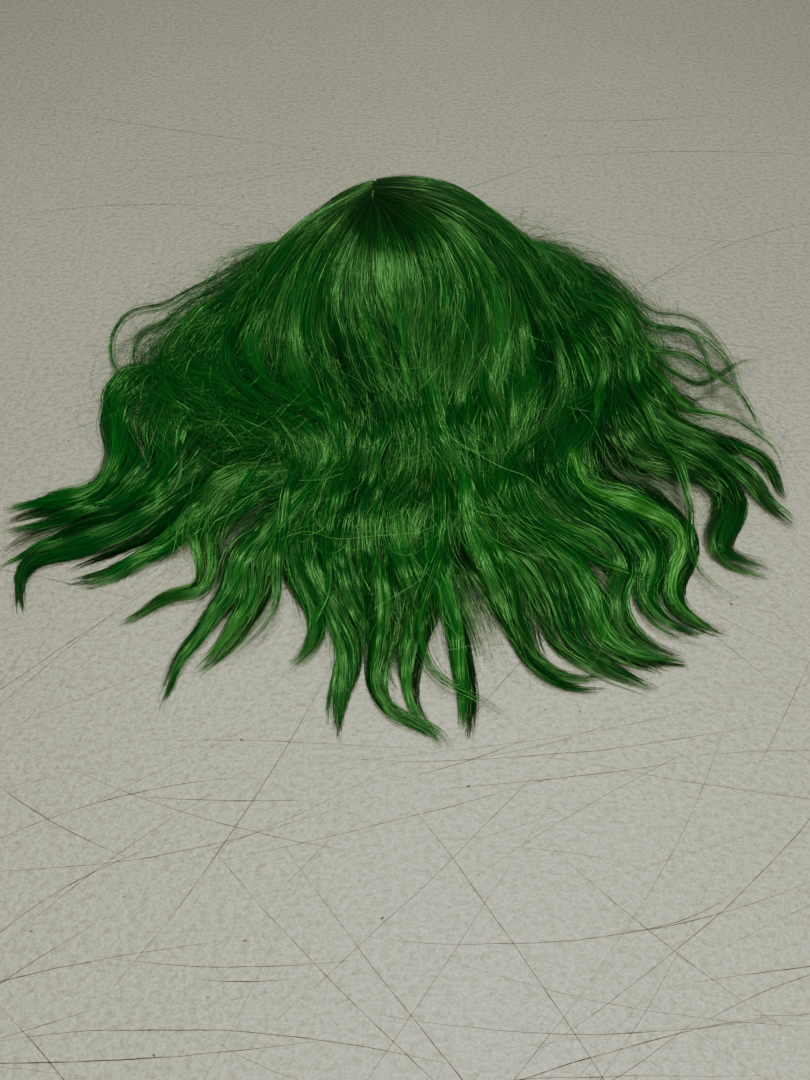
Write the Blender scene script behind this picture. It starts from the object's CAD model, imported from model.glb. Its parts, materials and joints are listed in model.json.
"""A long wavy costume wig, lying face down on a table, drawn round its frame.

The cap's CAD parts keep their meshes and get materials. Each CAD lock of hair is
replaced by fibres, which are thin ribbons of mesh along hand-set paths.
"""
import json
import math

import bmesh
import bpy
import numpy as np
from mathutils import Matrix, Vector


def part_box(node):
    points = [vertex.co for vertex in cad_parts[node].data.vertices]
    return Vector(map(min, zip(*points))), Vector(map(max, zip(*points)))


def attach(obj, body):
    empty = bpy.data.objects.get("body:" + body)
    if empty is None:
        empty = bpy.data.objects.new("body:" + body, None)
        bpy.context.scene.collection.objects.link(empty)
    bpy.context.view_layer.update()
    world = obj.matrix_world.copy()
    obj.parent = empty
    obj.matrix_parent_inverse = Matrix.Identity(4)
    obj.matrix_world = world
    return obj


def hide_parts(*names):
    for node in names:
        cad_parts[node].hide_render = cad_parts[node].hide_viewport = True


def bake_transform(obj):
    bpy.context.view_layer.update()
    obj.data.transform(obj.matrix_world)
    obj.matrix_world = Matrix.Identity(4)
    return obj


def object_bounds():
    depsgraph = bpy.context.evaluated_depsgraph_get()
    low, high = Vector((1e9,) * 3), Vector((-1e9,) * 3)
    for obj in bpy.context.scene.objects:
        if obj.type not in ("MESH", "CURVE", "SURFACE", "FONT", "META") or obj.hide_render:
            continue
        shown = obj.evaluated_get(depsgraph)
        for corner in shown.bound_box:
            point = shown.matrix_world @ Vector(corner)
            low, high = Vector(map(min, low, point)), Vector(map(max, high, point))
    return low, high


MM = 0.001
rng = np.random.default_rng(7)

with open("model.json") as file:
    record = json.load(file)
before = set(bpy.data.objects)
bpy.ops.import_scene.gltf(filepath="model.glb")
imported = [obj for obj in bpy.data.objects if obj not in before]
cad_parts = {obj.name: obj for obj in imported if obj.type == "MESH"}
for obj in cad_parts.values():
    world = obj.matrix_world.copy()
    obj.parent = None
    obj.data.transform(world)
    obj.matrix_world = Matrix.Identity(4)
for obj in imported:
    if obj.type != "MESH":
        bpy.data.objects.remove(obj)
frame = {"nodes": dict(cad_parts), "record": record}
FRAME_BOX = [list(corner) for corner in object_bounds()]

# The crown axis, in millimetres. Paths below are measured on the table from a
# point 165 mm in front of the crown axis, +x to the right and +y to the hairline.
low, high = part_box("crown_closure")
CROWN = np.array([(low.x + high.x) / 2, (low.y + high.y) / 2]) / MM
CROWN_Y = 165.0
ORIGIN = CROWN - np.array([0.0, CROWN_Y])

# The outside of the sewn cap under the hair: a dome on an upright wall.
CAP_REACH = 94.5
CAP_WALL = 16.0
CAP_RISE = 72.5
CAP_POWER = 2.2
CAP_DOME = 0.85            # share of the reach that fibres lie over and don't go round

POINTS = 60                # points along each fibre
ALONG = np.linspace(0, 1, POINTS)[None]
SPAN_STEPS = 24            # points on a smooth curve from one hand-set point to the next

# Widths of drawn fibres, in millimetres.
FIBRE = 0.36
STRAND_FIBRE = 0.34
STRAY_FIBRE = 0.2
EDGE_FIBRE = 0.26
FRIZZ_FIBRE = 0.22


# ---------------------------------------------------------------- hair paths

def smooth_path(points, count):
    """A smooth curve through hand-set points, as count evenly spaced points."""
    p = np.asarray(points, float)
    ends = np.vstack([2 * p[0] - p[1], p, 2 * p[-1] - p[-2]])
    dense = []
    t = np.linspace(0, 1, SPAN_STEPS, endpoint=False)[:, None]
    for a, b, c, d in zip(ends[:-3], ends[1:-2], ends[2:-1], ends[3:]):
        dense.append(0.5 * (2 * b + (c - a) * t + (2 * a - 5 * b + 4 * c - d) * t ** 2
                            + (3 * b - 3 * c + d - a) * t ** 3))
    dense = np.vstack(dense + [p[-1:]])
    return respace(dense, count)


def respace(curve, count):
    """The same curve with count points at even distances."""
    step = np.linalg.norm(np.diff(curve, axis=0), axis=1)
    along = np.concatenate([[0], np.cumsum(step)])
    want = np.linspace(0, along[-1], count)
    return np.stack([np.interp(want, along, curve[:, k]) for k in range(curve.shape[1])], axis=1)


# Each top path runs from the parting, over the dome and along one lock to its tip.
TOP_PATHS = {
    "FL1": [(-29, 280), (-66, 266), (-93, 233), (-109, 194), (-126, 156), (-147, 121), (-171, 90),
        (-194, 63), (-207, 37), (-194, 10), (-166, -12), (-130, -34)],
    "FL2": [(-29, 264), (-59, 247), (-87, 215), (-107, 175), (-130, 140), (-155, 107), (-181, 78),
        (-203, 53), (-198, 22), (-170, 0), (-134, -22), (-104, -46)],
    "FL3": [(-29, 240), (-64, 224), (-96, 194), (-123, 155), (-151, 120), (-179, 90), (-206, 64),
        (-208, 40), (-188, 20), (-154, 2), (-116, -16), (-90, -40)],
    "T1": [(-30, 216), (-70, 200), (-115, 168), (-152, 135), (-190, 104), (-216, 72), (-214, 44),
        (-190, 24), (-155, 7), (-116, -14), (-92, -37), (-98, -53), (-127, -58), (-152, -76),
        (-161, -103), (-152, -134), (-155, -158), (-182, -167), (-217, -192)],
    "T2": [(-30, 204), (-62, 184), (-98, 150), (-130, 116), (-152, 80), (-148, 44), (-118, 10),
        (-85, -18), (-66, -48), (-76, -78), (-104, -107), (-126, -134), (-135, -164), (-150, -190),
        (-166, -216), (-178, -252)],
    "T2B": [(-30, 200), (-56, 178), (-88, 147), (-114, 114), (-129, 76), (-118, 34), (-90, -3),
        (-68, -38), (-72, -72), (-92, -106), (-108, -140), (-116, -170), (-134, -198),
        (-160, -226)],
    "T3": [(-30, 196), (-52, 174), (-78, 144), (-96, 112), (-106, 72), (-92, 26), (-64, -12),
        (-58, -50), (-72, -84), (-89, -115), (-85, -148), (-72, -176), (-69, -197), (-77, -212),
        (-89, -221)],
    "T4": [(-30, 190), (-44, 168), (-60, 140), (-74, 112), (-83, 74), (-68, 34), (-43, -2),
        (-40, -45), (-56, -80), (-66, -115), (-63, -148), (-51, -183), (-47, -213), (-57, -248),
        (-59, -277)],
    "T5": [(-29, 186), (-36, 164), (-46, 138), (-56, 110), (-61, 78), (-46, 38), (-23, 0),
        (-20, -45), (-35, -80), (-42, -115), (-38, -150), (-30, -180), (-25, -205), (-24, -224)],
    "T6": [(-29, 184), (-30, 162), (-34, 136), (-38, 110), (-38, 82), (-24, 44), (-4, 5), (0, -40),
        (-14, -78), (-20, -110), (-14, -140), (-10, -170), (-14, -198), (-20, -228), (-13, -248),
        (0, -258), (20, -266), (33, -281)],
    "T7": [(-28, 184), (-22, 162), (-18, 136), (-15, 110), (-14, 82), (-2, 44), (14, 5), (19, -40),
        (8, -78), (0, -110), (6, -145), (10, -175), (8, -201), (9, -225), (14, -248), (27, -264)],
    "T8": [(-28, 184), (-14, 162), (-3, 136), (4, 112), (7, 84), (4, 50), (12, 8), (28, -34),
        (35, -74), (26, -110), (22, -140), (31, -170), (40, -200), (46, -225), (49, -248),
        (49, -278)],
    "T9": [(-28, 185), (-8, 164), (10, 140), (20, 114), (26, 86), (24, 50), (20, 10), (27, -30),
        (42, -66), (50, -98), (60, -128), (74, -158), (84, -190), (96, -216), (118, -229),
        (148, -230)],
    "T10": [(-28, 187), (-2, 168), (24, 144), (38, 116), (46, 86), (42, 52), (32, 12), (33, -25),
        (46, -58), (56, -91), (72, -121), (97, -143), (111, -168), (119, -199), (144, -222),
        (182, -243)],
    "T11": [(-28, 189), (6, 172), (38, 148), (58, 120), (69, 88), (71, 54), (60, 16), (52, -20),
        (56, -58), (67, -91), (90, -117), (118, -138), (130, -166), (137, -195), (156, -216),
        (192, -229)],
    "T12": [(-28, 191), (14, 176), (52, 152), (79, 124), (96, 92), (104, 56), (105, 20), (91, -14),
        (80, -50), (78, -80), (93, -112), (124, -136), (142, -163), (150, -190), (168, -207),
        (209, -212)],
    "T13": [(-28, 194), (22, 180), (66, 156), (100, 126), (122, 94), (132, 58), (131, 24),
        (116, -10), (104, -44), (107, -75), (129, -100), (157, -118), (172, -143), (167, -168),
        (178, -194), (211, -208)],
    "T13B": [(-28, 195), (26, 182), (73, 159), (110, 128), (134, 95), (146, 59), (147, 25),
        (133, -9), (124, -42), (132, -72), (154, -94), (180, -112), (190, -136), (182, -160),
        (192, -186), (228, -201)],
    "T14": [(-28, 197), (30, 185), (80, 162), (119, 130), (146, 96), (160, 60), (162, 26),
        (150, -8), (143, -40), (154, -68), (180, -86), (204, -103), (212, -122), (203, -148),
        (208, -176), (244, -194)],
    "T15": [(-28, 202), (36, 192), (92, 168), (134, 138), (162, 102), (180, 66), (185, 32),
        (183, 2), (199, -23), (227, -44), (253, -60), (262, -84), (247, -113), (252, -131),
        (289, -144)],
    "T16": [(-28, 210), (44, 200), (104, 176), (146, 144), (174, 108), (190, 72), (198, 38),
        (207, 6), (228, -13), (258, -36), (276, -57), (287, -82), (308, -112)],
    "T17": [(-28, 220), (50, 208), (112, 186), (152, 152), (182, 116), (198, 80), (206, 44),
        (214, 12), (235, -7), (263, -18), (291, -26), (307, -44), (313, -80)],
    "FR3": [(-27, 240), (24, 236), (64, 216), (100, 186), (134, 152), (164, 120), (186, 88),
        (198, 52), (204, 18), (204, -12), (212, -40), (232, -66)],
    "FR2": [(-27, 264), (24, 261), (59, 238), (85, 201), (111, 165), (139, 131), (165, 98),
        (188, 66), (209, 38), (216, 4), (224, -30), (246, -54)],
    "FR1": [(-27, 280), (30, 283), (70, 263), (90, 230), (104, 196), (123, 166), (142, 140),
        (165, 114), (186, 86), (208, 56), (236, 28), (266, 4)],
}

# Locks that come out from under the top hair on the left.
LOW_PATHS = {
    "M1": [(-30, 205), (-88, 186), (-140, 148), (-166, 108), (-180, 72), (-198, 48), (-224, 46),
        (-250, 36), (-261, 12), (-258, -16), (-258, -44), (-272, -64), (-299, -78), (-325, -92)],
    "M2": [(-30, 203), (-84, 182), (-132, 141), (-158, 98), (-174, 60), (-198, 36), (-224, 26),
        (-240, 6), (-238, -20), (-234, -46), (-244, -70), (-270, -88), (-298, -100), (-325, -112)],
    "M3": [(-30, 200), (-80, 178), (-124, 134), (-148, 88), (-166, 50), (-190, 22), (-206, 2),
        (-202, -24), (-196, -50), (-212, -78), (-244, -98), (-276, -112), (-300, -122),
        (-322, -136)],
    "M4": [(-30, 196), (-70, 170), (-106, 126), (-128, 74), (-132, 24), (-134, -18), (-158, -46),
        (-184, -66), (-208, -90), (-236, -108), (-262, -120), (-284, -130), (-296, -146),
        (-288, -180)],
    "M5": [(-30, 192), (-60, 162), (-90, 116), (-108, 60), (-112, 0), (-124, -40), (-150, -66),
        (-174, -92), (-196, -114), (-220, -128), (-246, -138), (-268, -146)],
    "M6": [(-30, 190), (-50, 158), (-76, 112), (-88, 56), (-86, 0), (-92, -46), (-112, -80),
        (-136, -104), (-162, -122), (-190, -132), (-216, -138), (-240, -146)],
}

# Thin strands that lie across or beside the locks.
STRAND_PATHS = {
    "left_loop": [(-28, 248), (-80, 228), (-125, 196), (-160, 160), (-185, 136), (-215, 128),
        (-245, 114), (-260, 90), (-260, 64), (-248, 47), (-226, 46)],
    "left_inner_loop": [(-28, 240), (-78, 220), (-120, 190), (-156, 152), (-184, 124), (-212, 108),
        (-234, 90), (-240, 64), (-224, 46)],
    "left_sweep": [(-31, 230), (-70, 214), (-112, 180), (-150, 140), (-184, 104), (-210, 72),
        (-204, 42), (-176, 22), (-140, 4), (-96, -20), (-60, -50)],
    "left_tail": [(-30, 204), (-98, 160), (-148, 100), (-150, 40), (-110, -10), (-88, -44),
        (-94, -92), (-96, -140), (-97, -180), (-118, -206), (-148, -226)],
    "middle_tail": [(-30, 190), (-60, 140), (-80, 74), (-60, 10), (-52, -60), (-60, -120),
        (-56, -160), (-66, -190), (-74, -214), (-86, -232)],
    "long_curl": [(-28, 186), (0, 140), (20, 84), (16, 20), (26, -40), (30, -90), (26, -140),
        (14, -176), (12, -206), (26, -232), (52, -246), (76, -262)],
    "right_cross": [(-28, 200), (50, 180), (120, 120), (164, 60), (164, 24), (138, 2), (112, -22),
        (88, -47), (77, -78), (71, -111), (76, -140)],
    "right_sweep": [(-28, 190), (40, 140), (74, 80), (66, 20), (84, -44), (92, -72), (100, -96),
        (120, -119), (142, -135), (179, -149), (212, -150)],
    "right_curl": [(-12, 250), (60, 238), (116, 206), (166, 168), (197, 132), (216, 106),
        (240, 92), (268, 80), (285, 60), (290, 30), (296, 2)],
    "right_fly": [(-12, 250), (60, 236), (112, 204), (164, 164), (194, 120), (212, 80), (228, 44),
        (252, 32), (276, 46), (300, 64), (324, 70)],
    "right_arc": [(-12, 250), (60, 238), (118, 206), (168, 170), (200, 138), (226, 120),
        (254, 108), (278, 88), (290, 60), (294, 28)],
    "right_inner_arc": [(-12, 246), (58, 232), (112, 200), (160, 160), (190, 124), (216, 102),
        (244, 92), (264, 70), (270, 40), (264, 12)],
    "right_low_arc": [(-12, 240), (56, 226), (110, 190), (158, 148), (190, 106), (208, 76),
        (234, 66), (262, 52), (284, 30), (300, 2), (308, -30)],
    "right_edge": [(-28, 226), (60, 206), (130, 170), (176, 128), (202, 88), (214, 48), (232, 12),
        (262, -2), (292, -12), (310, -34), (312, -66)],
    "right_drop": [(-28, 208), (100, 178), (160, 124), (190, 72), (196, 24), (206, -12),
        (220, -50), (226, -90), (220, -128), (238, -160), (268, -172)],
}

TOP = np.stack([smooth_path(path, POINTS) for path in TOP_PATHS.values()])
LOW = np.stack([smooth_path(path, POINTS) for path in LOW_PATHS.values()])
STRANDS = np.stack([smooth_path(path, POINTS) for path in STRAND_PATHS.values()])


# ---------------------------------------------------------------- heights

# Height of the top of the hair at distances from the crown axis: towards the
# nape and sides, and towards the hairline.
NEAR_R = [0, 30, 50, 75, 95, 112, 135, 170, 220, 300, 380, 430, 470]
NEAR_Z = [90.5, 90, 87, 78.5, 67, 55, 43, 32, 26, 21, 16, 11, 6]
FAR_R = [0, 30, 50, 75, 92, 104, 112, 118, 125, 140]
FAR_Z = [90.5, 89, 84, 70, 54, 37, 21, 9, 5, 3]

FAR_BEARINGS = (85, 125)   # degrees from the nape: here the near heights give way

# Waves round the crown, at distances from its axis. They rise from nothing over
# WAVE_GROWS, lose WAVE_LOSS over WAVE_FADES and come closer together further out.
WAVE_START = 115.0
WAVE_RATE = 0.0081         # waves per millimetre at WAVE_START
WAVE_LEAST_RATE = 0.006
WAVE_CLOSING = 2.74e-5
WAVE_TURN = 0.25           # of a wave, at WAVE_START
WAVE_SLOPE = 0.40
WAVE_GROWS, WAVE_FADES, WAVE_LOSS = (72, 120), (200, 300), 0.35
WAVE_UNEVEN = [(0.5, 3.1, 0.7), (0.35, 7.3, 2.0)]  # size, rate and start round the crown


def ramp(x, start, end):
    """0 before start, 1 after end, smooth between."""
    t = np.clip((x - start) / (end - start), 0, 1)
    return t * t * (3 - 2 * t)


def from_crown(x, y):
    """Distance from the crown axis and bearing from the nape, in radians."""
    dx, dy = x, y - CROWN_Y
    return np.hypot(dx, dy), np.arctan2(dx, -dy)


def hair_top(x, y):
    """Height of the top of the hair over a point on the table."""
    r, bearing = from_crown(x, y)
    far = ramp(np.degrees(np.abs(bearing)), *FAR_BEARINGS)
    near_z = np.interp(r, NEAR_R, NEAR_Z)
    far_z = np.interp(r, FAR_R, FAR_Z)
    return near_z * (1 - far) + far_z * far


def cap_top(r):
    """Height of the cap's outside at this distance from the crown axis."""
    share = np.clip(r / CAP_REACH, 0, 0.9999) ** CAP_POWER
    return CAP_WALL + CAP_RISE * (1 - share) ** (1 / CAP_POWER)


def wave_rise(x, y, shift, scale=1.0):
    """Rise of the waves, nearly in step across neighbouring locks."""
    r, bearing = from_crown(x, y)
    past = r - WAVE_START
    turns = WAVE_RATE * past + WAVE_CLOSING * past ** 2 + WAVE_TURN
    rate = np.clip(WAVE_RATE + 2 * WAVE_CLOSING * past, WAVE_LEAST_RATE, None)
    uneven = sum(much * np.sin(often * bearing + start) for much, often, start in WAVE_UNEVEN)
    size = WAVE_SLOPE / (2 * np.pi * rate) * ramp(r, *WAVE_GROWS)
    size = size * (1 - WAVE_LOSS * ramp(r, *WAVE_FADES))
    return scale * size * np.cos(2 * np.pi * turns + uneven + shift)


# ---------------------------------------------------------------- fibres

# A lock is made of tresses, a tress of wisps and a wisp of fibres. Each sways
# sideways, waves late, lies lower or higher and rolls about its length by its own
# amount, in millimetres and radians.
TRESSES_PER_GUIDE = 3      # tresses between one guide and the next
LOCK_SWAY, TRESS_SWAY, WISP_SWAY, FIBRE_SWAY = 7.0, 1.8, 1.4, 1.0
LOCK_LATE, TRESS_LATE, WISP_LATE = 1.1, 0.4, 0.2
TRESS_WAVES = (0.35, 1.1)  # range of how strongly a tress waves
TRESS_SUNK = 6.0           # most that a tress lies below its neighbours
TRESS_DIP = 5.5            # how much it dips now and then along its way
TRESS_ROUND = 3.0          # drop from a tress's middle to its sides
LOCK_ROUND = 4.5           # drop from a gathered lock's middle to its sides
WISP_LIFT, FIBRE_SUNK, FIBRE_LIFT = 0.5, 0.9, 0.4
LOCK_UNEVEN = (0.8, 1.25)  # range of the locks' widths
TAPER = 0.74               # share of the length where a lock starts to narrow
TIP_WIDTH = 0.6            # half width of a lock's tip
TIP_UNEVEN = 0.032         # share of the length by which tips fall short
TIP_DROP = 0.5             # share of the hair's height that a tip comes down
THICK_HAIR = 30.0          # under this height of hair the depths shrink
LOWEST_FIBRES = (0.6, 0.4)  # least height over the table, and how much it varies
FLOOR_SOFTNESS = 1.2
STRANDS_PER_LOCK = 4       # a lock's fibres part into these towards its tip
STRAND_PULL = 0.8          # share of the way that they move
TRESS_ROLL, WISP_ROLL, FIBRE_ROLL, SIDE_ROLL = 0.22, 0.10, 0.20, 0.5
TRESS_TONE, WISP_TONE = 0.7, 0.3
SHADE_DEPTHS = (2.0, 13.0)  # the hair darkens from the first depth to the second
SHADE_LOSS = 0.88          # and loses this share of its colour
CAP_CLEAR = (0.2, 1.4)     # range of the gap between the cap and a fibre

# Shares of the length over which fibres start to wander, to sway and to lie deeper.
WANDER_ONSET, SWAY_ONSET, DEPTH_ONSET = (0.02, 0.25), (0.12, 0.45), (0.12, 0.4)


def drift(count, knots, size):
    """Smooth random wander along a fibre, one row each."""
    at = np.linspace(0, knots - 1, POINTS)
    left = np.floor(at).astype(int).clip(0, knots - 2)
    f = at - left
    f = f * f * (3 - 2 * f)
    values = rng.normal(0, size, (count, knots))
    return values[:, left] * (1 - f) + values[:, left + 1] * f


def sideways(plan):
    """Unit vectors across each path on the table."""
    t = np.gradient(plan, axis=-2)
    t /= np.linalg.norm(t, axis=-1, keepdims=True) + 1e-9
    return np.stack([-t[..., 1], t[..., 0]], axis=-1)


def between_points(s):
    """The path point before each share s of the length, and how far past it s is."""
    position = s * (POINTS - 1)
    index = np.floor(position).astype(int).clip(0, POINTS - 2)
    return index, (position - index)[..., None]


def grow(guides, wisps, per_wisp, depth=(0.0, 2.8), gather=(0.45, 0.85), width=11.5,
         spread=0.045, start=(0.0, 0.0), end=(0.92, 1.0), loose=0.26, blunt=0.95, lit=0.0):
    """Fibres between neighbouring guides, gathered into one lock round each guide.

    depth is how far below the top of the hair the wisps lie, and width is half a
    lock's. start, gather and end are shares of the guides' length. spread is a wisp's
    width in guides. loose sets how untidy single fibres are, and blunt the tips'
    shape. The hair isn't shaded for the first lit millimetres of depth.
    Returns the points, rolls, nearest guides, tones and shades.
    """
    count = wisps * per_wisp
    place = rng.uniform(0, len(guides) - 1, wisps)
    u = np.repeat(place, per_wisp)
    in_wisp = rng.normal(0, 1.0, count)
    u = np.clip(u + in_wisp * spread, 0, len(guides) - 1.001)
    cell = np.floor(u).astype(int)
    part = (u - cell)[:, None]
    near = np.rint(u).astype(int)

    first = np.repeat(rng.uniform(*start, wisps), per_wisp)
    last = np.repeat(rng.uniform(*end, wisps), per_wisp)
    last = np.clip(last - np.abs(rng.normal(0, TIP_UNEVEN, count)), 0.4, 1.0)
    s = first[:, None] + (last - first)[:, None] * ALONG
    index, f = between_points(s)

    def along(which):
        return guides[which[:, None], index] * (1 - f) + guides[which[:, None], index + 1] * f

    free = along(cell) * (1 - part[..., None]) + along(cell + 1) * part[..., None]
    gathered = ramp(s, *gather)
    plan = free * (1 - gathered[..., None]) + along(near) * gathered[..., None]
    across = sideways(plan)

    # Wisps that share a tress sway and wave together.
    tress = np.repeat(np.floor(place * TRESSES_PER_GUIDE).astype(int), per_wisp)
    off_middle = 2 * np.abs((u * TRESSES_PER_GUIDE) % 1 - 0.5)[:, None]
    tresses = TRESSES_PER_GUIDE * len(guides)
    swing = drift(len(guides), 8, LOCK_SWAY)
    sway = swing[cell] * (1 - part) + swing[cell + 1] * part
    sway = sway + drift(tresses, 8, TRESS_SWAY)[tress]
    late = rng.normal(0, LOCK_LATE, (len(guides), 1))
    wave_shift = late[cell] * (1 - part) + late[cell + 1] * part
    wave_shift = wave_shift + rng.normal(0, TRESS_LATE, (tresses, 1))[tress]
    wave_scale = rng.uniform(*TRESS_WAVES, (tresses, 1))[tress]
    sunk = rng.uniform(0, TRESS_SUNK, (tresses, 1))
    sunk = (sunk + TRESS_DIP * np.clip(drift(tresses, 9, 1.0), 0, 2))[tress]
    tress_tone = rng.random(tresses)[tress]

    # Across its lock a fibre keeps its side, then joins one of the lock's strands.
    side = ((u - near) * 2.0)[:, None]
    strands = rng.uniform(-1, 1, (len(guides), STRANDS_PER_LOCK))
    nearest = np.abs(strands[near] - side).argmin(axis=1)
    pull = STRAND_PULL * ramp(s, TAPER + 0.03, 0.99)
    side = side * (1 - pull) + strands[near, nearest][:, None] * pull
    broad = rng.uniform(*LOCK_UNEVEN, len(guides))[near][:, None] * width
    rest = np.clip((s - TAPER) / (1.0 - TAPER), 0, 1)
    half = broad * (1 - rest) ** blunt + TIP_WIDTH

    untidy = loose * np.exp(rng.normal(0, 0.8, (count, 1)))
    wander = np.repeat(drift(wisps, 7, WISP_SWAY), per_wisp, axis=0)
    wander = wander + untidy * drift(count, 12, FIBRE_SWAY)
    shift = side * half * gathered + wander * ramp(s, *WANDER_ONSET) + sway * ramp(s, *SWAY_ONSET)
    plan = plan + across * shift[..., None]
    x, y = plan[..., 0], plan[..., 1]

    top = hair_top(x, y)
    shallow = np.clip(top / THICK_HAIR, 0.15, 1.0)
    below = np.repeat(rng.uniform(*depth, wisps), per_wisp)[:, None]
    below = below + np.abs(rng.normal(0, FIBRE_SUNK, (count, 1)))
    below = below + LOCK_ROUND * side ** 2 * gathered
    sunk = sunk + TRESS_ROUND * off_middle ** 2 * (1 - gathered)
    below = below + sunk * ramp(s, *DEPTH_ONSET)
    lift = np.repeat(drift(wisps, 6, WISP_LIFT), per_wisp, axis=0)
    lift = lift + FIBRE_LIFT * untidy * drift(count, 9, 1.0)
    step = np.repeat(drift(wisps, 4, WISP_LATE), per_wisp, axis=0)
    waves = wave_rise(x, y, step + wave_shift, wave_scale)
    z = top * (1 - TIP_DROP * rest) + waves - below * shallow + lift
    lowest = LOWEST_FIBRES[0] + LOWEST_FIBRES[1] * rng.random((count, 1))
    z = lowest + np.log1p(np.exp((z - lowest) / FLOOR_SOFTNESS)) * FLOOR_SOFTNESS
    points = keep_off_cap(np.stack([x, y, z], axis=-1))

    roll = np.repeat(drift(wisps, 5, WISP_ROLL), per_wisp, axis=0)
    roll = roll + drift(tresses, 5, TRESS_ROLL)[tress]
    roll = roll + SIDE_ROLL * side * gathered + rng.normal(0, FIBRE_ROLL, (count, 1))
    wisp_tone = np.repeat(rng.random(wisps), per_wisp)
    tone = TRESS_TONE * tress_tone + WISP_TONE * wisp_tone
    shade = (1 - SHADE_LOSS * ramp(below - lit, *SHADE_DEPTHS)) * root_shade(s)
    return points, roll, near, tone, shade


def root_shade(s):
    """Less light reaches the hair close to the parting."""
    return 0.4 + 0.6 * ramp(s, 0.02, 0.22)


def keep_off_cap(points):
    """Lifts fibres off the cap's dome and pushes them out of its wall."""
    clear = rng.uniform(*CAP_CLEAR, (len(points), 1))
    dx = points[..., 0]
    dy = points[..., 1] - CROWN_Y
    r = np.hypot(dx, dy)
    over = r < CAP_DOME * CAP_REACH
    points[..., 2] = np.where(over, np.maximum(points[..., 2], cap_top(r) + clear), points[..., 2])
    z = points[..., 2]
    share = np.clip((z - CAP_WALL) / CAP_RISE, 0, 0.999) ** CAP_POWER
    wall = CAP_REACH * (1 - share) ** (1 / CAP_POWER) + clear
    short = np.clip(wall - r, 0, None) * ~over
    points[..., 0] += dx / np.maximum(r, 1) * short
    points[..., 1] += dy / np.maximum(r, 1) * short
    return points


def add_ribbons(name, points, roll, tone, shade, width=FIBRE):
    """One mesh of thin ribbons, one for each row of points, narrower at both ends."""
    count, steps = points.shape[:2]
    p = points.copy()
    p[..., 0] += ORIGIN[0]
    p[..., 1] += ORIGIN[1]
    t = np.gradient(p, axis=1)
    t /= np.linalg.norm(t, axis=2, keepdims=True) + 1e-9
    up = np.array([0.0, 0.0, 1.0])
    flat = np.cross(t, up)
    flat /= np.linalg.norm(flat, axis=2, keepdims=True) + 1e-9
    normal = np.cross(flat, t)
    across = flat * np.cos(roll)[..., None] + normal * np.sin(roll)[..., None]
    s = np.linspace(0, 1, steps)
    taper = (0.35 + 0.65 * ramp(1 - s, 0.0, 0.10)) * (0.7 + 0.3 * ramp(s, 0, 0.08))
    size = width * rng.uniform(0.7, 1.25, (count, 1, 1))
    half = across * taper[None, :, None] * size / 2
    verts = np.stack([p - half, p + half], axis=2).reshape(-1, 3) * MM
    row = np.arange(count)[:, None] * steps * 2
    k = row + np.arange(steps - 1)[None] * 2
    quads = np.stack([k, k + 1, k + 3, k + 2], axis=-1).reshape(-1, 4)
    mesh = bpy.data.meshes.new(name)
    mesh.vertices.add(len(verts))
    mesh.vertices.foreach_set("co", verts.astype(np.float32).ravel())
    mesh.loops.add(quads.size)
    mesh.loops.foreach_set("vertex_index", quads.ravel().astype(np.int32))
    mesh.polygons.add(len(quads))
    mesh.polygons.foreach_set("loop_start", np.arange(0, quads.size, 4, dtype=np.int32))
    mesh.polygons.foreach_set("use_smooth", np.ones(len(quads), bool))
    mesh.update(calc_edges=True)
    uv = np.zeros((count, steps, 2, 2))
    uv[..., 0] = ((np.arange(count)[:, None, None] + np.array([0.1, 0.9])) / count)
    uv[..., 1] = s[None, :, None] * 0.98 + 0.01
    uv = uv.reshape(-1, 2)[quads.ravel()]
    mesh.uv_layers.new(name="OFBake").data.foreach_set("uv", uv.astype(np.float32).ravel())
    data = np.ones((count, steps, 2, 4), np.float32)
    data[..., 0] = rng.random((count, 1, 1))
    data[..., 1] = shade[..., None]
    data[..., 2] = tone[:, None, None]
    tones = mesh.attributes.new("tone", "FLOAT_COLOR", "POINT")
    tones.data.foreach_set("color", data.ravel())
    mesh.materials.append(HAIR)
    return add_object(name, mesh)


def add_object(name, data):
    """A new object of this mesh, lamp or camera in the scene."""
    obj = bpy.data.objects.new(name, data)
    bpy.context.scene.collection.objects.link(obj)
    return obj


def add_loose_hair(name, points, roll, tone, shade, width):
    """Hair that belongs to no one lock, fixed to the cap."""
    piece = add_ribbons(name, points, roll, tone, shade, width)
    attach(piece, "cap")


# ---------------------------------------------------------------- materials

# Shares of the hair's colour that come from a fibre's own tone and from its wisp's.
FIBRE_WEIGHT, WISP_WEIGHT = 0.3, 0.7
DRAWN_OUT = (0.7, 1.0, 1.0)  # stretch of the table's grain


def new_material(name):
    """A node material with its tree and its shader."""
    mat = bpy.data.materials.new(name)
    mat.use_nodes = True
    tree = mat.node_tree
    return mat, tree, tree.nodes["Principled BSDF"]


def add_node(tree, kind, **values):
    """A node with these values in its sockets or in its own settings."""
    node = tree.nodes.new(kind)
    for key, value in values.items():
        if key in node.inputs:
            node.inputs[key].default_value = value
        else:
            setattr(node, key, value)
    return node


def placed(tree, kind, stretch=(1, 1, 1), **values):
    """A texture in the object's own coordinates."""
    where = tree.nodes.new("ShaderNodeTexCoord")
    mapping = add_node(tree, "ShaderNodeMapping")
    mapping.inputs["Scale"].default_value = stretch
    texture = add_node(tree, kind, **values)
    tree.links.new(where.outputs["Object"], mapping.inputs["Vector"])
    tree.links.new(mapping.outputs["Vector"], texture.inputs["Vector"])
    return texture


def noise(tree, scale, detail, stretch=(1, 1, 1)):
    """The strength of a noise texture."""
    return placed(tree, "ShaderNodeTexNoise", stretch, Scale=scale, Detail=detail).outputs["Fac"]


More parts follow.
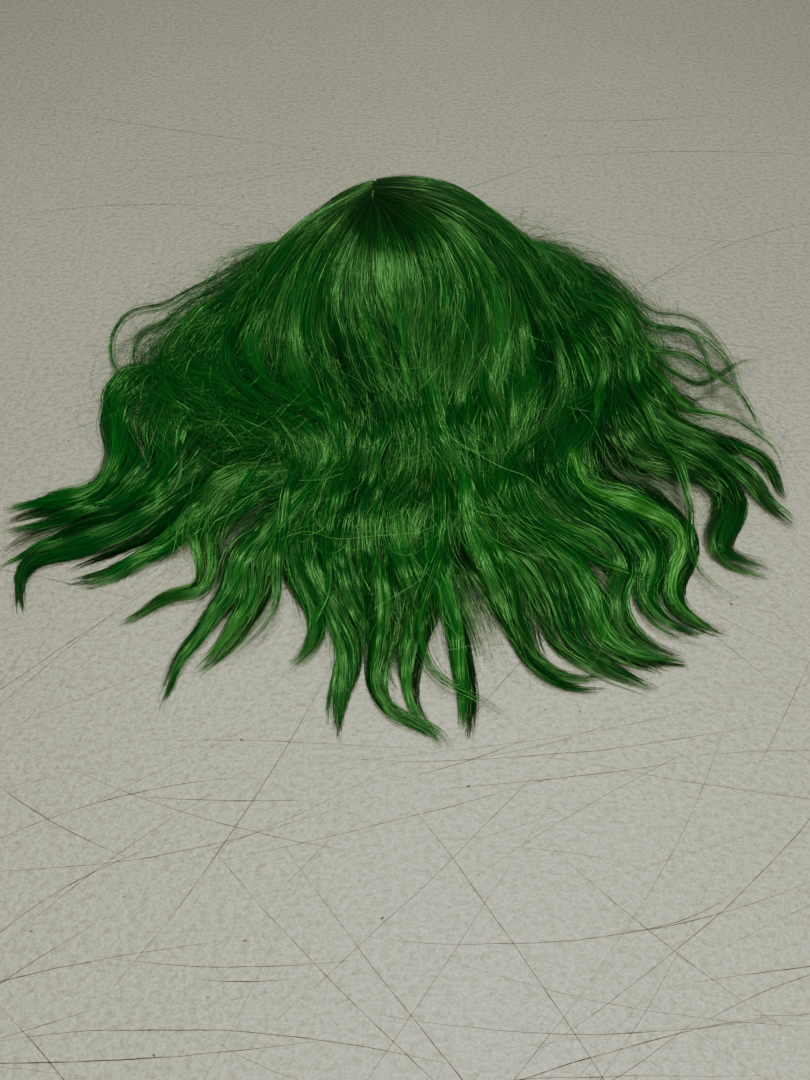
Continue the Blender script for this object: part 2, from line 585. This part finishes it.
def colour_ramp(tree, value, stops):
    """The colour that these stops give to a value of 0 to 1."""
    node = tree.nodes.new("ShaderNodeValToRGB")
    elements = node.color_ramp.elements
    while len(elements) < len(stops):
        elements.new(0.5)
    for element, (at, colour) in zip(elements, stops):
        element.position = at
        element.color = (*colour, 1.0)
    tree.links.new(value, node.inputs["Fac"])
    return node.outputs["Color"]


def add_bump(tree, bsdf, height, strength, distance):
    """Bumps as high as distance, in metres, where height is 1."""
    bump = add_node(tree, "ShaderNodeBump", Strength=strength, Distance=distance)
    tree.links.new(height, bump.inputs["Height"])
    tree.links.new(bump.outputs["Normal"], bsdf.inputs["Normal"])


def multiply(tree, first, second):
    """The first colour times the second."""
    node = add_node(tree, "ShaderNodeMix", data_type="RGBA", blend_type="MULTIPLY")
    node.inputs["Factor"].default_value = 1.0
    tree.links.new(first, node.inputs[6])
    tree.links.new(second, node.inputs[7])
    return node.outputs[2]


def hair_material():
    """Glossy green fibre. The attribute tone holds each fibre's own tone in red, its
    shade in green and its wisp's tone in blue."""
    mat, tree, bsdf = new_material("green_fibre")
    link = tree.links.new
    tone = add_node(tree, "ShaderNodeAttribute", attribute_name="tone")
    parts = tree.nodes.new("ShaderNodeSeparateColor")
    link(tone.outputs["Color"], parts.inputs["Color"])
    fibre = add_node(tree, "ShaderNodeMath", operation="MULTIPLY")
    fibre.inputs[1].default_value = FIBRE_WEIGHT
    link(parts.outputs["Red"], fibre.inputs[0])
    wisp = add_node(tree, "ShaderNodeMath", operation="MULTIPLY_ADD")
    wisp.inputs[1].default_value = WISP_WEIGHT
    link(parts.outputs["Blue"], wisp.inputs[0])
    link(fibre.outputs[0], wisp.inputs[2])
    shades = colour_ramp(tree, wisp.outputs[0],
                         [(0.0, (0.0001, 0.016, 0.003)), (0.45, (0.0001, 0.048, 0.005)),
                          (0.75, (0.0016, 0.100, 0.008)), (1.0, (0.045, 0.195, 0.016))])
    link(multiply(tree, shades, parts.outputs["Green"]), bsdf.inputs["Base Color"])
    bsdf.inputs["Roughness"].default_value = 0.32
    bsdf.inputs["IOR"].default_value = 1.57
    bsdf.inputs["Specular Tint"].default_value = (0.33, 1.0, 0.26, 1.0)
    return mat


def table_material():
    """Painted sheet with a close, slightly drawn-out grain."""
    mat, tree, bsdf = new_material("table_top")
    broad = colour_ramp(tree, noise(tree, 2.2, 3.0),
                        [(0.3, (0.412, 0.420, 0.338)), (0.7, (0.462, 0.471, 0.380))])
    fine = colour_ramp(tree, noise(tree, 620.0, 1.0, DRAWN_OUT),
                       [(0.40, (0.80, 0.80, 0.79)), (0.60, (1.04, 1.04, 1.03))])
    dimples = noise(tree, 260.0, 2.0, DRAWN_OUT)
    pits = colour_ramp(tree, dimples,
                       [(0.36, (0.80, 0.80, 0.79)), (0.54, (1.02, 1.02, 1.02))])
    colour = multiply(tree, multiply(tree, broad, fine), pits)
    tree.links.new(colour, bsdf.inputs["Base Color"])
    add_bump(tree, bsdf, dimples, strength=1.0, distance=0.0020)
    bsdf.inputs["Roughness"].default_value = 0.5
    return mat


def mark_material():
    """Dark scratches and specks in the table's paint."""
    mat, tree, bsdf = new_material("table_marks")
    shades = colour_ramp(tree, noise(tree, 60.0, 2.0),
                         [(0.35, (0.020, 0.019, 0.016)), (0.65, (0.200, 0.195, 0.160))])
    tree.links.new(shades, bsdf.inputs["Base Color"])
    bsdf.inputs["Roughness"].default_value = 0.9
    return mat


HAIR = hair_material()


# ---------------------------------------------------------------- the hair

# The guides whose fibres replace each CAD lock.
GUIDES_OF = {
    "left_front_lock": "FL1 FL2", "crown_lock_1": "FL3", "crown_lock_2": "T1",
    "crown_lock_3": "T2 T2B", "crown_lock_4": "T3", "crown_lock_5": "T4",
    "crown_lock_6": "T5 T6", "crown_lock_7": "T7 T8", "crown_lock_8": "T9",
    "crown_lock_9": "T10 T11", "crown_lock_10": "T12 T13", "crown_lock_11": "T13B T14 T15",
    "crown_lock_12": "T16 T17", "right_front_lock": "FR3 FR2 FR1", "middle_lock_1": "M1 M2",
    "nape_lock_1": "M3", "middle_lock_2": "M4", "nape_lock_2": "M5 M6",
}
LOCK_OF = {guide: lock for lock, guides in GUIDES_OF.items() for guide in guides.split()}
bundles = {}


def share_out(grown, names):
    """Puts each fibre in the bundle of the lock that its guide belongs to."""
    points, roll, near, tone, shade = grown
    for k, node in enumerate(names):
        mine = near == k
        if mine.any():
            bundles.setdefault(node, []).append((points[mine], roll[mine], tone[mine], shade[mine]))


def spread_names(row, first, last, count):
    """The names of a row's locks, shared evenly over count guides."""
    return [f"{row}_{first + round(k * (last - first) / (count - 1))}" for k in range(count)]


share_out(grow(TOP, wisps=1200, per_wisp=13), [LOCK_OF[name] for name in TOP_PATHS])
share_out(grow(LOW, wisps=190, per_wisp=13, depth=(4.0, 13.0), gather=(0.5, 0.85), width=19.0,
               spread=0.04, start=(0.1, 0.2), end=(0.93, 1.0), blunt=0.36, lit=9.0),
          [LOCK_OF[name] for name in LOW_PATHS])

# Two deeper rows fill the hair from below, away from its sides.
FILL = TOP[3:-3]
share_out(grow(FILL, wisps=420, per_wisp=10, depth=(5.0, 13.0), gather=(0.75, 1.15),
               width=16.0, spread=0.07, start=(0.08, 0.16), end=(0.76, 0.91)),
          spread_names("middle_lock", 3, 8, len(FILL)))
share_out(grow(FILL, wisps=300, per_wisp=10, depth=(12.0, 22.0), gather=(0.8, 1.3),
               width=18.0, spread=0.1, start=(0.12, 0.2), end=(0.66, 0.80)),
          spread_names("nape_lock", 3, 7, len(FILL)))

for node in sorted(bundles):
    points, roll, tone, shade = (np.concatenate(rows) for rows in zip(*bundles[node]))
    piece = add_ribbons("fibres_" + node, points, roll, tone, shade)
    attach(piece, "cap")
    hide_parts(node)


# Loose hair, in millimetres: widths of the strands, how far single hairs fly off
# sideways and curl, and how far they may rise over the hair.
STRAND_WIDTH, STRAND_TIP, STRAND_UNTIDY = 2.6, 0.2, 0.8
STRAND_UNEVEN = 0.10       # share of the length by which a strand's hairs fall short
STRAY_FLIGHT, STRAY_RISE = (1.0, 15.0), 9.0
EDGE_FLIGHT, EDGE_CURL, EDGE_RISE = (2.0, 34.0), (1.0, 6.0), 6.0
LOWEST = 0.5               # least height of a loose hair over the table
# Hairs are drawn in from BOX_ROOM inside the frame's box, and go BOX_REACH further.
BOX_ROOM, BOX_REACH = 14.0, 22.0


def add_strands(per_strand=40):
    """Thin strands along their own paths."""
    count = len(STRANDS) * per_strand
    which = np.repeat(np.arange(len(STRANDS)), per_strand)[:, None]
    s = ALONG * np.clip(1.0 - np.abs(rng.normal(0, STRAND_UNEVEN, (count, 1))), 0.5, 1.0)
    index, f = between_points(s)
    plan = STRANDS[which, index] * (1 - f) + STRANDS[which, index + 1] * f
    width = STRAND_WIDTH * np.sin(np.pi * np.clip(s * 0.8 + 0.1, 0, 1)) + STRAND_TIP
    untidy = STRAND_UNTIDY * np.exp(rng.normal(0, 0.7, (count, 1)))
    shift = rng.normal(0, 1.0, (count, 1)) * width + drift(count, 9, 1.0) * untidy
    plan = plan + sideways(plan) * shift[..., None]
    x, y = plan[..., 0], plan[..., 1]
    z = hair_top(x, y) + wave_rise(x, y, 0.0) + rng.normal(0.4, 0.7, (count, 1))
    z = np.maximum(z * (1 - 0.5 * ramp(s, 0.8, 1.0)), 0.8)
    points = keep_off_cap(np.stack([x, y, z], axis=-1))
    roll = rng.normal(0, 0.5, (count, 1)) + np.zeros((count, POINTS))
    add_loose_hair("loose_strands", points, roll, rng.random(count), root_shade(s), STRAND_FIBRE)


def keep_in_box(points):
    """Draws hairs in softly where they would leave the space round the frame."""
    low_edge, high_edge = (np.array(corner)[:2] / MM - ORIGIN for corner in FRAME_BOX)
    for k in range(2):
        over = np.clip(points[..., k] - (high_edge[k] - BOX_ROOM), 0, None)
        under = np.clip(low_edge[k] + BOX_ROOM - points[..., k], 0, None)
        points[..., k] += BOX_REACH * (1 - np.exp(-over / BOX_REACH)) - over
        points[..., k] -= BOX_REACH * (1 - np.exp(-under / BOX_REACH)) - under
    return points


def keep_near_top(points, height):
    """Keeps hairs over the table, off the cap and no more than height over the hair."""
    top = hair_top(points[..., 0], points[..., 1])
    points[..., 2] = np.clip(points[..., 2], LOWEST, top + height)
    return keep_off_cap(points)


def fly_off(points, away, free, height):
    """Moves hairs sideways by away, from none near the root to all at the share free."""
    away = away * ramp(ALONG, 0.15, free)
    points[..., :2] += sideways(points[..., :2]) * away[..., None]
    return keep_near_top(keep_in_box(points), height)


def add_stray_hairs(count=2300):
    """Single hairs that stand off the locks all round."""
    points, roll, _, tone, shade = grow(TOP, wisps=count, per_wisp=1, depth=(-5.0, 2.0),
                                        gather=(0.8, 1.4), end=(0.5, 0.98), loose=2.0)
    flight = drift(count, 5, 1.0) * rng.uniform(*STRAY_FLIGHT, (count, 1))
    points = fly_off(points, flight, free=0.8, height=STRAY_RISE)
    add_loose_hair("stray_hairs", points, roll, tone, shade, STRAY_FIBRE)


def add_edge_hairs(name, guides, outward, count=900):
    """Flyaway hairs that curl out past one side of the hair."""
    points, roll, _, tone, shade = grow(guides, wisps=count, per_wisp=1, depth=(-3.0, 3.0),
                                        gather=(0.8, 1.4), end=(0.4, 0.95), loose=1.5)
    flight = np.abs(drift(count, 4, 1.0)) * rng.uniform(*EDGE_FLIGHT, (count, 1)) * outward
    curl = drift(count, 20, 1.0) * rng.uniform(*EDGE_CURL, (count, 1))
    points = fly_off(points, flight + curl, free=0.7, height=EDGE_RISE)
    add_loose_hair(name, points, roll, tone, shade, EDGE_FIBRE)


# Short curling hairs. Sizes are in millimetres, and FRIZZ_CURL and FRIZZ_BEND in
# radians for each millimetre.
FRIZZ_ROOTS = (10, 46)     # the guide points that they leave
FRIZZ_LENGTH = (35.0, 130.0)
FRIZZ_TIPS = (2.0, 16.0)   # heights of their tips
FRIZZ_CURL, FRIZZ_BEND = (0.01, 0.05), 0.012
FRIZZ_RISE = 7.0           # how far they may rise over the hair
HAIR_SIDES = (150, 210)    # from the middle, where the sides begin and end


def add_frizz(name, guides, turn, count):
    """Short curling hairs that leave the locks at an angle, turn in radians."""
    which = rng.integers(0, len(guides), count)
    index = rng.integers(*FRIZZ_ROOTS, count)
    root = guides[which, index]
    ahead = guides[which, index + 1] - root
    heading = np.arctan2(ahead[:, 1], ahead[:, 0]) + rng.uniform(*turn, count)
    length = rng.uniform(*FRIZZ_LENGTH, (count, 1))
    step = length / (POINTS - 1)
    curl = drift(count, 7, 1.0) * rng.uniform(*FRIZZ_CURL, (count, 1))
    bend = curl + rng.normal(0, FRIZZ_BEND, (count, 1))
    angle = heading[:, None] + np.cumsum(bend * step, axis=1)
    x = root[:, :1] + np.cumsum(np.cos(angle) * step, axis=1)
    y = root[:, 1:] + np.cumsum(np.sin(angle) * step, axis=1)
    points = keep_in_box(np.stack([x, y, np.zeros_like(x)], axis=-1))
    top = hair_top(points[..., 0], points[..., 1])
    start = hair_top(root[:, :1], root[:, 1:]) * rng.uniform(0.6, 1.0, (count, 1))
    tip = rng.uniform(*FRIZZ_TIPS, (count, 1))
    height = start + (tip - start) * ALONG ** 1.5 + drift(count, 5, 1.5)

    # Over the hair they lie on top of it. Past its sides they may hang lower.
    past = ramp(np.abs(points[..., 0]), *HAIR_SIDES)
    height = np.maximum(height, (top + rng.uniform(0.5, 4.0, (count, 1))) * (1 - past))
    points[..., 2] = height
    roll = rng.normal(0, 0.6, (count, 1)) + np.zeros((count, POINTS))
    tone = rng.uniform(0.3, 1.0, count)
    points = keep_near_top(points, FRIZZ_RISE)
    add_loose_hair(name, points, roll, tone, np.ones((count, POINTS)), FRIZZ_FIBRE)


add_strands()
add_stray_hairs()
add_edge_hairs("left_flyaways", TOP[:5], -1)
add_edge_hairs("right_flyaways", TOP[-5:], 1)
add_frizz("left_frizz", TOP[:4], (-1.2, 0.2), 330)
add_frizz("right_frizz", TOP[-4:], (-0.2, 1.2), 430)
add_frizz("top_frizz", TOP, (-0.6, 0.6), 600)


# ---------------------------------------------------------------- the cap

def cap_material(name, dark, pale, roughness, pattern):
    """A sheet whose colour and bump come from a pattern of 0 to 1."""
    mat, tree, bsdf = new_material(name)
    height = pattern(tree)
    shades = colour_ramp(tree, height, [(0.15, dark), (0.85, pale)])
    tree.links.new(shades, bsdf.inputs["Base Color"])
    add_bump(tree, bsdf, height, strength=0.6, distance=0.0004)
    bsdf.inputs["Roughness"].default_value = roughness
    return mat


def mesh_pattern(tree):
    """Net threads round open cells."""
    cells = placed(tree, "ShaderNodeTexVoronoi", feature="DISTANCE_TO_EDGE", Scale=520.0)
    return colour_ramp(tree, cells.outputs["Distance"], [(0.06, (1, 1, 1)), (0.22, (0, 0, 0))])


def knot_pattern(tree):
    """Small knots set close together."""
    knots = placed(tree, "ShaderNodeTexVoronoi", Scale=900.0)
    return colour_ramp(tree, knots.outputs["Distance"], [(0.12, (0, 0, 0)), (0.3, (1, 1, 1))])


def strand_pattern(tree):
    """Upright strands of hair side by side."""
    return noise(tree, 1400.0, 3.0, (1, 1, 0.06))


def bands(tree, direction, scale, distortion):
    """The strength of a texture of bands, stacked in this direction."""
    wave = placed(tree, "ShaderNodeTexWave", bands_direction=direction, Scale=scale,
                  Distortion=distortion)
    return wave.outputs["Fac"]


def rib_pattern(tree):
    """Ribs of an elastic band."""
    return bands(tree, "Z", 240.0, 0.6)


def weave_pattern(tree):
    """Two crossing sets of threads."""
    both = add_node(tree, "ShaderNodeMath", operation="MULTIPLY")
    for k, direction in enumerate("ZY"):
        tree.links.new(bands(tree, direction, 420.0, 0.5), both.inputs[k])
    return both.outputs[0]


def moulded_pattern(tree):
    """The fine grain of moulded plastic."""
    return noise(tree, 1800.0, 2.0)


CAP_LOOKS = {
    "cap_net": ("stretch_net", (0.004, 0.008, 0.004), (0.030, 0.050, 0.028), 0.8, mesh_pattern),
    "skin_sheet": ("parting_sheet", (0.01, 0.04, 0.01), (0.15, 0.17, 0.09), 0.6, knot_pattern),
    "weft_stitching": ("weft_header", (0.004, 0.030, 0.006), (0.020, 0.120, 0.020),
                       0.6, strand_pattern),
    "elastic": ("ribbed_elastic", (0.008, 0.009, 0.008), (0.045, 0.048, 0.045),
                0.75, rib_pattern),
    "tab_fabric": ("woven_tape", (0.008, 0.010, 0.008), (0.060, 0.064, 0.060),
                   0.8, weave_pattern),
    "hook_plastic": ("hook_moulding", (0.018, 0.018, 0.018), (0.034, 0.034, 0.034),
                     0.42, moulded_pattern),
    "stay_plastic": ("stay_strip", (0.52, 0.52, 0.49), (0.62, 0.62, 0.59), 0.4, moulded_pattern),
}
CAP_MATERIALS = {slot: cap_material(*look) for slot, look in CAP_LOOKS.items()}

for part in frame["record"]["subparts"]:
    if part["material_slot"] in CAP_MATERIALS:
        mesh = frame["nodes"][part["node"]].data
        mesh.materials.clear()
        mesh.materials.append(CAP_MATERIALS[part["material_slot"]])


# The elastic straps, in millimetres and radians. A strap stretches from STRAP_HELD
# before its sewn end to HOOK_HELD past its hook's end.
STRAP_STEPS, STRAP_RIBS = 72, 5
STRAP_HALF, RIB_RISE, SWELL_RISE = 0.28, 0.10, 0.04
SWELL_RATE = 140           # of the ripples along the strap, in phase for each radian
STRAP_INSET = 0.2          # from the CAD strap's corner in to the middle of ours
STRAP_SHARE = 0.98         # of the CAD strap's height


def strap_outline(half_height):
    """The strap's ribbed section, as steps outward and upward from its middle."""
    outline = []
    for face in (1, -1):
        for k in range(4 * STRAP_RIBS + 1):
            along = k / (4 * STRAP_RIBS)
            depth = STRAP_HALF + RIB_RISE * math.cos(2 * math.pi * STRAP_RIBS * along)
            outline.append((face * depth, face * half_height * (1 - 2 * along) * STRAP_SHARE))
    return outline


def add_strap(side):
    """The ribbed elastic from the adjuster's hook to its sewn end near the ear."""
    low_corner, high_corner = (np.array(corner) / MM
                               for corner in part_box(side + "_adjuster_strap"))
    sign = -1.0 if side == "left" else 1.0
    hook_x = high_corner[0] if side == "left" else low_corner[0]
    hook_end = np.array([hook_x, low_corner[1]]) - CROWN
    radius = np.hypot(*hook_end) - STRAP_INSET
    first = math.atan2(abs(hook_end[0]), -hook_end[1])
    last = math.acos((CROWN[1] - high_corner[1]) / radius)
    middle = (low_corner[2] + high_corner[2]) / 2

    def place(turn, r, rise):
        """A point at this bearing from the nape, in metres."""
        return ((CROWN[0] + sign * r * math.sin(turn)) * MM,
                (CROWN[1] - r * math.cos(turn)) * MM, (middle + rise) * MM)

    outline = strap_outline((high_corner[2] - low_corner[2]) / 2)
    verts = []
    for turn in np.linspace(first, last, STRAP_STEPS):
        swell = SWELL_RISE * math.sin(SWELL_RATE * turn)
        verts += [place(turn, radius + out + swell, rise) for out, rise in outline]
    n = len(outline)
    faces = [tuple(range(n)), tuple((STRAP_STEPS - 1) * n + k for k in range(n))[::-1]]
    for row in range(STRAP_STEPS - 1):
        for k in range(n):
            a, b = row * n + k, row * n + (k + 1) % n
            faces.append((a, a + n, b + n, b))
    mesh = bpy.data.meshes.new(side + "_strap")
    mesh.from_pydata(verts, [], faces)
    mesh.materials.append(CAP_MATERIALS["elastic"])
    mesh.update()
    strap = add_object(side + "_elastic", mesh)
    bm = bmesh.new()
    bm.from_mesh(mesh)
    bmesh.ops.recalc_face_normals(bm, faces=bm.faces)
    bm.to_mesh(mesh)
    bm.free()
    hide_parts(side + "_adjuster_strap")
    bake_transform(strap)


add_strap("left")
add_strap("right")


# ---------------------------------------------------------------- the stage

# The table, in metres. Marks are drawn MARKS_ACROSS to either side of the middle.
FLOOR_HALF = 9.0
MARKS_ACROSS = 0.45
MARKS_FRONT, MARKS_MIDDLE, MARKS_BACK = -0.62, -0.28, 0.48
SCRATCH_RISE, SPECK_RISE = 0.00005, 0.00006
SCRATCHES, SCRATCH_STEPS, IN_FRONT = 210, 24, 0.8
SPECKS, SPECK_SIDES = 150, 7

# Scratches lie in three families: the share that each family ends at, its heading in
# degrees and the spread of its headings.
SCRATCH_FAMILIES = [(0.66, 6, 13), (0.84, -42, 12), (1.0, 48, 14)]

LAMP_COLOUR = (1.0, 0.99, 0.90)
CAMERA_BACK, CAMERA_HEIGHT = 0.435, 0.560
CAMERA_TILT = 30.0


def add_floor():
    """The table top."""
    mesh = bpy.data.meshes.new("table_top")
    corners = [(x * FLOOR_HALF, y * FLOOR_HALF, 0) for x, y in ((-1, -1), (1, -1), (1, 1), (-1, 1))]
    mesh.from_pydata(corners, [], [(0, 1, 2, 3)])
    mesh.materials.append(table_material())
    floor = add_object("table_top", mesh)


def add_scratch(verts, faces):
    """Adds one long shallow scratch, which is widest in its middle."""
    ahead = rng.random() < IN_FRONT
    x = rng.uniform(-MARKS_ACROSS, MARKS_ACROSS)
    y = rng.uniform(MARKS_FRONT, MARKS_MIDDLE) if ahead else rng.uniform(MARKS_MIDDLE, MARKS_BACK)
    family = rng.random()
    middle, vary = next(rest for until, *rest in SCRATCH_FAMILIES if family < until)
    heading = math.radians(rng.normal(middle, vary))
    length = rng.uniform(0.05, 0.36)
    bend = math.radians(rng.normal(0, 16))
    wide = rng.uniform(0.10, 0.75) * MM
    for k in range(SCRATCH_STEPS + 1):
        along = k / SCRATCH_STEPS
        turned = heading + bend * (along - 0.5) + math.radians(rng.normal(0, 1.2))
        half = wide * math.sin(math.pi * (0.06 + 0.88 * along)) / 2
        for side in (-half, half):
            verts.append((x + side * math.sin(turned), y - side * math.cos(turned), SCRATCH_RISE))
        x += length / SCRATCH_STEPS * math.cos(turned)
        y += length / SCRATCH_STEPS * math.sin(turned)
        if k:
            n = len(verts)
            faces.append((n - 4, n - 3, n - 1, n - 2))


def add_speck(verts, faces):
    """Adds one small uneven speck, longer than it is wide."""
    x, y = rng.uniform(-MARKS_ACROSS, MARKS_ACROSS), rng.uniform(MARKS_FRONT, MARKS_BACK)
    size, turned = rng.uniform(0.3, 1.3) * MM, rng.uniform(0, math.pi)
    first = len(verts)
    for k in range(SPECK_SIDES):
        angle = 2 * math.pi * k / SPECK_SIDES
        out = size * rng.uniform(0.6, 1.0)
        a, b = 1.6 * out * math.cos(angle), 0.7 * out * math.sin(angle)
        verts.append((x + a * math.cos(turned) - b * math.sin(turned),
                      y + a * math.sin(turned) + b * math.cos(turned), SPECK_RISE))
    faces.append(tuple(range(first, first + SPECK_SIDES)))


def add_table_marks():
    """Scratches, mostly in front of the hair, and small dark specks."""
    verts, faces = [], []
    for _ in range(SCRATCHES):
        add_scratch(verts, faces)
    for _ in range(SPECKS):
        add_speck(verts, faces)
    mesh = bpy.data.meshes.new("table_marks")
    mesh.from_pydata(verts, [], faces)
    mesh.materials.append(mark_material())
    marks = add_object("table_marks", mesh)


def add_lamp(name, kind, energy, towards):
    """A lamp that shines along a direction."""
    data = bpy.data.lights.new(name, kind)
    data.energy = energy
    data.color = LAMP_COLOUR
    lamp = add_object(name, data)
    lamp.rotation_mode = "QUATERNION"
    lamp.rotation_quaternion = Vector(towards).to_track_quat("-Z", "Y")
    return lamp


def add_light(name, place, aim, size, power, spread=180.0):
    """A soft rectangular lamp aimed at a point. spread is in degrees."""
    lamp = add_lamp(name, "AREA", power, Vector(aim) - Vector(place))
    lamp.location = place
    lamp.data.shape = "RECTANGLE"
    lamp.data.size, lamp.data.size_y = size
    lamp.data.spread = math.radians(spread)


def add_sky(towards, strength, angle):
    """A wide even light from far off, so that the table's far end isn't dark."""
    lamp = add_lamp("sky", "SUN", strength, towards)
    lamp.data.angle = math.radians(angle)


def add_room(strength):
    """The faint light that comes from everywhere."""
    world = bpy.data.worlds.new("room")
    world.use_nodes = True
    background = world.node_tree.nodes["Background"]
    background.inputs["Color"].default_value = (0.95, 0.96, 0.9, 1)
    background.inputs["Strength"].default_value = strength
    bpy.context.scene.world = world


def add_camera():
    """The camera, above and in front of the hair."""
    data = bpy.data.cameras.new("camera")
    data.lens = 27.0
    data.sensor_width = 36.0
    camera = add_object("camera", data)
    camera.location = (ORIGIN[0] * MM, ORIGIN[1] * MM - CAMERA_BACK, CAMERA_HEIGHT)
    camera.rotation_euler = (math.radians(CAMERA_TILT), 0.0, 0.0)
    bpy.context.scene.camera = camera


add_floor()
add_table_marks()
add_sky((-0.04, -0.27, -1.6), strength=1.0, angle=20.0)
add_light("ceiling", (0.04, 0.20, 1.6), aim=(0, -0.05, 0), size=(0.5, 0.35), power=10.2)
add_light("front", (0.2, -0.95, 1.3), aim=(0.05, -0.5, 0), size=(0.8, 0.5), power=4.8,
          spread=90.0)
add_room(strength=0.12)
add_camera()
